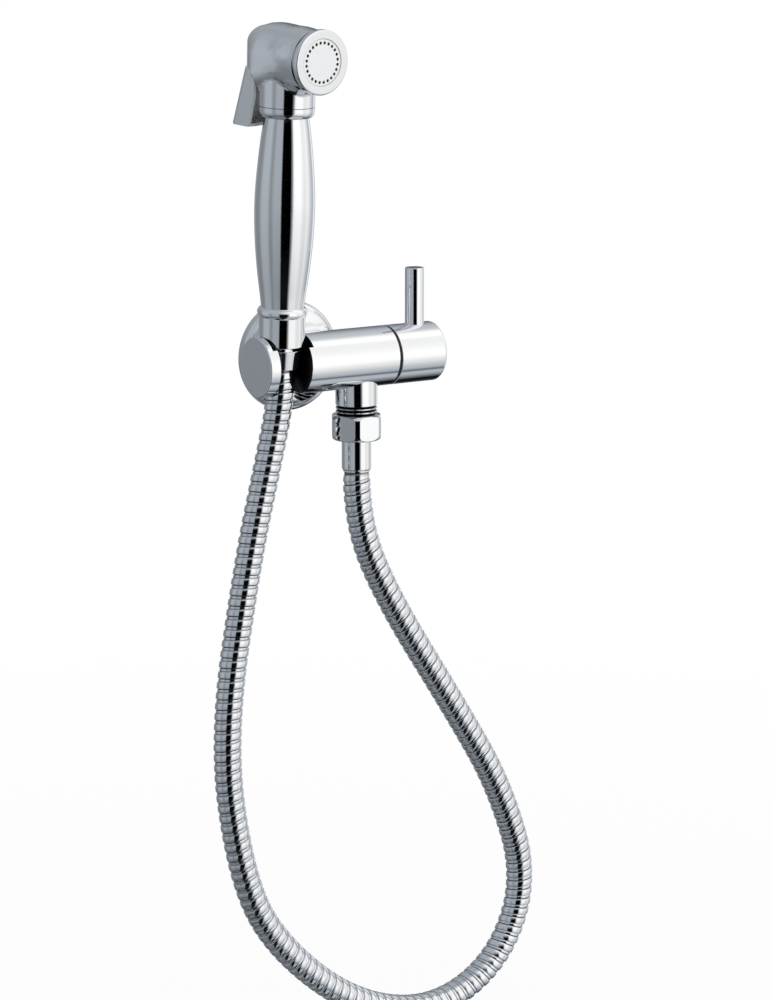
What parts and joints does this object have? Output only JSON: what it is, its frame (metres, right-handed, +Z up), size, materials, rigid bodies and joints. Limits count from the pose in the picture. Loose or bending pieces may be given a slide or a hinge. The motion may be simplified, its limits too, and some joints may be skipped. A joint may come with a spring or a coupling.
{
  "type": "handheld bidet shower",
  "caption": "Handheld trigger spray with a turned metal grip, hung in the slotted end of a lever shut-off valve and joined to its outlet by a looped metal hose.",
  "frame": {"origin": "on the axis of the inlet thread, in the plane of the wall behind the flange", "axes": "+Y into the wall along the inlet thread, +Z up, +X along the valve towards its lever"},
  "size_m": [0.1933, 0.0785, 0.5226],
  "materials": {
    "chrome": "polished",
    "hose_steel": "polished",
    "spray_plate": "polished",
    "black_plastic": "matt",
    "seal_rubber": "matt",
    "ceramic": "lapped",
    "brass": "turned",
    "steel": "plain",
    "tube_plastic": "plain"
  },
  "bodies": {
    "fixture": {"wall_flange": "chrome", "valve_body": "chrome", "cartridge_seal": "seal_rubber", "fixed_ceramic_disc": "ceramic", "cartridge_housing": "brass", "slip_ring": "black_plastic", "hose_nut": "chrome", "hose_nut_washer": "seal_rubber", "valve_end_insert": "brass", "valve_end_ferrule": "chrome", "hose": "hose_steel", "cone_ferrule": "chrome", "handset_insert": "brass", "handset_washer": "seal_rubber", "handset_hose_nut": "chrome", "handset_connector": "chrome", "grip": "chrome", "water_tube": "tube_plastic", "tube_o_rings": "seal_rubber", "neck_ring": "chrome", "head_body": "chrome", "valve_seat": "brass", "valve_gland": "brass", "stem_o_ring": "seal_rubber", "valve_spring": "steel", "trigger_pin": "steel", "spray_bezel": "chrome", "spray_face": "spray_plate", "spray_gasket": "seal_rubber"},
    "lever_knob": {"knob": "chrome", "lever_pin": "chrome", "knob_grub_screw": "steel", "cartridge_spindle": "brass", "moving_ceramic_disc": "ceramic", "spindle_o_ring": "seal_rubber", "spindle_circlip": "steel"},
    "trigger": {"trigger": "chrome"},
    "valve_stem": {"valve_stem": "brass", "poppet_seal": "seal_rubber"}
  },
  "joints": [
    {"name": "shut_off_turn", "type": "hinge", "parent": "fixture", "child": "lever_knob", "pos_m": [0.059, -0.028, 0], "axis": [1, 0, 0], "range_deg": [0, 90]},
    {"name": "trigger_squeeze", "type": "hinge", "parent": "fixture", "child": "trigger", "pos_m": [-0.02087, -0.02532, 0.14264], "axis": [-0.9945, -0.1044, -0.0055], "range_deg": [0, 7], "stiffness_Nm_per_rad": 0.4, "springref_deg": -2.86},
    {"name": "stem_push", "type": "slide", "parent": "fixture", "child": "valve_stem", "axis": [0.1045, -0.9932, -0.052], "range_m": [0, 0.00109], "deforming": ["valve_spring"]}
  ],
  "couplings": [
    {"joint": "trigger_squeeze", "follows": "stem_push", "rad_per_m": 112.36}
  ]
}
